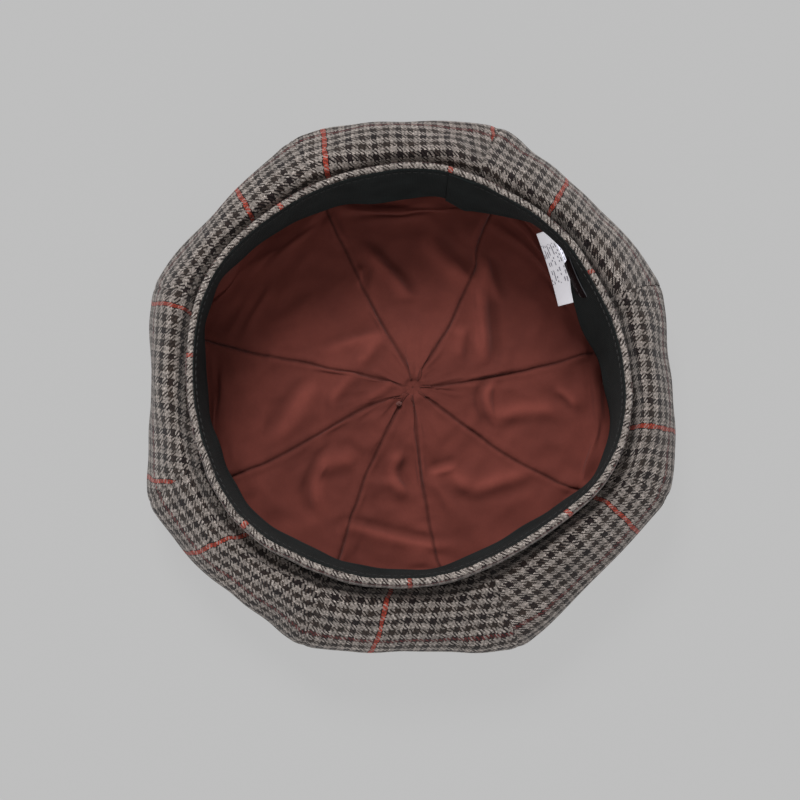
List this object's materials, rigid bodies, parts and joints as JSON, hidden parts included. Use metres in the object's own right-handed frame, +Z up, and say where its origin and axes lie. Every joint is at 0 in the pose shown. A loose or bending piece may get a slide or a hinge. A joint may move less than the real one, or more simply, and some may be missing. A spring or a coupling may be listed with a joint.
{
  "type": "newsboy cap",
  "caption": "Soft octagonal cap of tweed panels with a headband, sweatband, sewn lining and covered button, lying on its crown with the head opening up.",
  "frame": {"origin": "on the surface that the cap lies on, below the centre of the crown, at the bottom centre of its box", "axes": "+Z up out of the head opening, along the cap's shortest extent; -Y to the front of the cap and +Y to the back, where the sweatband's ends meet; +X across the head"},
  "size_m": [0.2368, 0.2368, 0.065],
  "materials": {
    "tweed": "brown, taupe and grey-beige gun-club check in a twill weave, with brick-red and maroon overcheck lines",
    "lining": "rust-brown satin-faced twill with a soft sheen",
    "ribbon": "charcoal grosgrain ribbon",
    "buckram": "stiffened open weave, hidden inside the headband",
    "care_label": "white coated tape, folded into a loop",
    "size_label": "black woven satin",
    "thread": "rust-brown sewing thread",
    "mould": "moulded, hidden under the button's cloth",
    "steel": "hidden inside the crown"
  },
  "bodies": {
    "cap": {"crown_panel_1": "tweed", "crown_panel_2": "tweed", "crown_panel_3": "tweed", "crown_panel_4": "tweed", "crown_panel_5": "tweed", "crown_panel_6": "tweed", "crown_panel_7": "tweed", "crown_panel_8": "tweed", "headband": "tweed", "button_cover": "tweed", "lining_panel_1": "lining", "lining_panel_2": "lining", "lining_panel_3": "lining", "lining_panel_4": "lining", "lining_panel_5": "lining", "lining_panel_6": "lining", "lining_panel_7": "lining", "lining_panel_8": "lining", "sweatband": "ribbon", "headband_stiffener": "buckram", "lining_tack": "thread", "button_mould": "mould", "button_washer": "steel", "button_pin": "steel"},
    "care_label": {"care_label": "care_label"},
    "size_label": {"size_label": "size_label"}
  },
  "joints": [
    {"name": "care_label_hinge", "type": "hinge", "parent": "cap", "child": "care_label", "pos_m": [0.07179, 0.05548, 0.0318], "axis": [-0.2756, 0.9613, 0], "range_deg": [-28, 50]},
    {"name": "size_label_hinge", "type": "hinge", "parent": "cap", "child": "size_label", "pos_m": [0.07499, 0.04329, 0.048], "axis": [-0.454, 0.891, 0], "range_deg": [-2, 80]}
  ]
}
